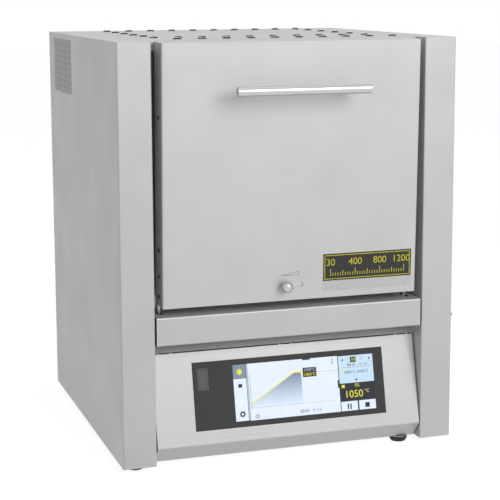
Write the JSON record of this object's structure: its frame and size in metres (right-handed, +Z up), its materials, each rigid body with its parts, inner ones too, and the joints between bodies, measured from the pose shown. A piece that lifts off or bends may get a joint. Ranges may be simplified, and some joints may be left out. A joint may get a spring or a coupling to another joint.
{
  "type": "muffle furnace",
  "caption": "Bench muffle furnace with a bottom hinged flap door, bar handle, air slide, sloping touch display, louvred cover and rear exhaust pipe.",
  "frame": {"origin": "on the floor, under the middle of the overall box", "axes": "+Z up, +X to the right seen from the front, the door and the display face -Y"},
  "size_m": [0.4471, 0.5114, 0.5324],
  "materials": {
    "textured_steel": "embossed pale grey steel sheet",
    "door_steel": "embossed pale grey steel sheet",
    "inner_steel": "plain bright sheet",
    "bright_steel": "turned and polished steel",
    "fastener_steel": "zinc plated",
    "foot_rubber": "moulded black rubber",
    "fibre_lining": "white ceramic fibre board",
    "white_ceramic": "unglazed cream ceramic",
    "heating_strip": "oxidised resistance strip",
    "display_glass": "printed black touch glass",
    "grey_plastic": "moulded grey plastic",
    "black_plastic": "moulded black plastic",
    "circuit_board": "green laminate",
    "cast_aluminium": "extruded",
    "contact_brass": "plated"
  },
  "bodies": {
    "housing": {"side_panel_left": "textured_steel", "side_panel_right": "textured_steel", "top_cover": "textured_steel", "rear_panel": "textured_steel", "base_plate": "inner_steel", "rubber_feet": "foot_rubber", "sill_bar": "textured_steel", "sill_gussets": "textured_steel", "control_fascia": "textured_steel", "display_glass": "display_glass", "display_module": "black_plastic", "controller_board": "circuit_board", "port_frame": "grey_plastic", "port_socket": "inner_steel", "hinge_brackets": "inner_steel", "mouth_collar": "fibre_lining", "side_linings": "fibre_lining", "top_lining": "fibre_lining", "floor_lining": "fibre_lining", "rear_lining": "fibre_lining", "hearth_plate": "white_ceramic", "heating_plate_right": "white_ceramic", "heating_plate_left": "white_ceramic", "heating_strips": "heating_strip", "heater_terminals": "white_ceramic", "front_frame": "inner_steel", "casing_wrap": "inner_steel", "casing_floor": "inner_steel", "casing_back": "inner_steel", "casing_rails": "inner_steel", "support_deck": "inner_steel", "exhaust_outlet": "bright_steel", "exhaust_flange": "inner_steel", "probe_sheath": "white_ceramic", "probe_head": "cast_aluminium", "heat_sink": "cast_aluminium", "solid_state_relay": "black_plastic", "contactor": "grey_plastic", "terminal_block": "grey_plastic", "power_inlet": "black_plastic", "inlet_blades": "contact_brass", "switch_frame": "black_plastic"},
    "door": {"hinge_arms": "inner_steel", "hinge_pins": "fastener_steel", "door_skin": "door_steel", "door_pan": "inner_steel", "door_insulation": "fibre_lining", "door_plug": "fibre_lining", "handle_bar": "bright_steel", "handle_posts": "bright_steel", "slider_guides": "inner_steel"},
    "air_shutter": {"air_slider": "inner_steel", "slider_knob": "bright_steel"},
    "port_cover": {"port_flap": "grey_plastic"},
    "rocker": {"switch_rocker": "black_plastic"}
  },
  "joints": [
    {"name": "door_hinge", "type": "hinge", "parent": "housing", "child": "door", "pos_m": [0, -0.18761, 0.18299], "axis": [1, 0, 0], "range_deg": [0, 88.2]},
    {"name": "air_slide", "type": "slide", "parent": "door", "child": "air_shutter", "axis": [1, 0, 0], "range_m": [0, 0.021]},
    {"name": "port_cover_hinge", "type": "hinge", "parent": "housing", "child": "port_cover", "pos_m": [-0.1127, -0.18414, 0.11905], "axis": [-1, 0, 0], "range_deg": [0, 90]},
    {"name": "mains_rocker", "type": "hinge", "parent": "housing", "child": "rocker", "pos_m": [0.218, -0.18631, 0.16], "axis": [0, -1, 0], "range_deg": [0, 18]}
  ]
}
